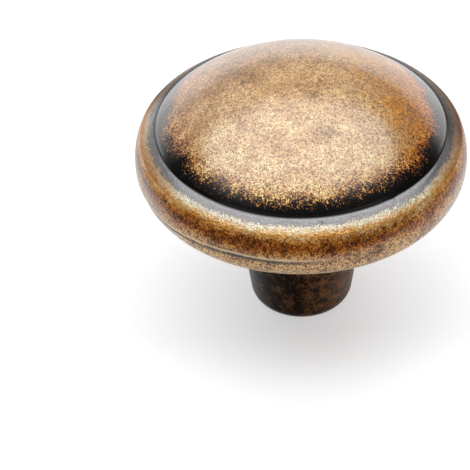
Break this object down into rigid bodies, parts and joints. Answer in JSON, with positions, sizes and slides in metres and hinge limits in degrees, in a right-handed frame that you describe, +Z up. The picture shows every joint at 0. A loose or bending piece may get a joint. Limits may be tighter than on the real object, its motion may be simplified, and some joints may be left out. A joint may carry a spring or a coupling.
{
  "type": "cabinet knob",
  "caption": "Round mushroom cabinet knob in antique brass: domed centre in a rounded rim, tapered stem with a blind tapped hole.",
  "frame": {"origin": "centre of the flat foot face, which seats on the door or drawer front", "axes": "+Z up the stem's axis from the foot face to the top of the dome; the knob is round about +Z, so +X and +Y are free"},
  "size_m": [0.04, 0.04, 0.0331],
  "materials": {
    "antique_brass": "antiqued: dark patina in the creases and on the stem, rubbed back to brass on the dome and rim, under lacquer"
  },
  "bodies": {
    "root": {"knob": "antique_brass"}
  },
  "joints": []
}
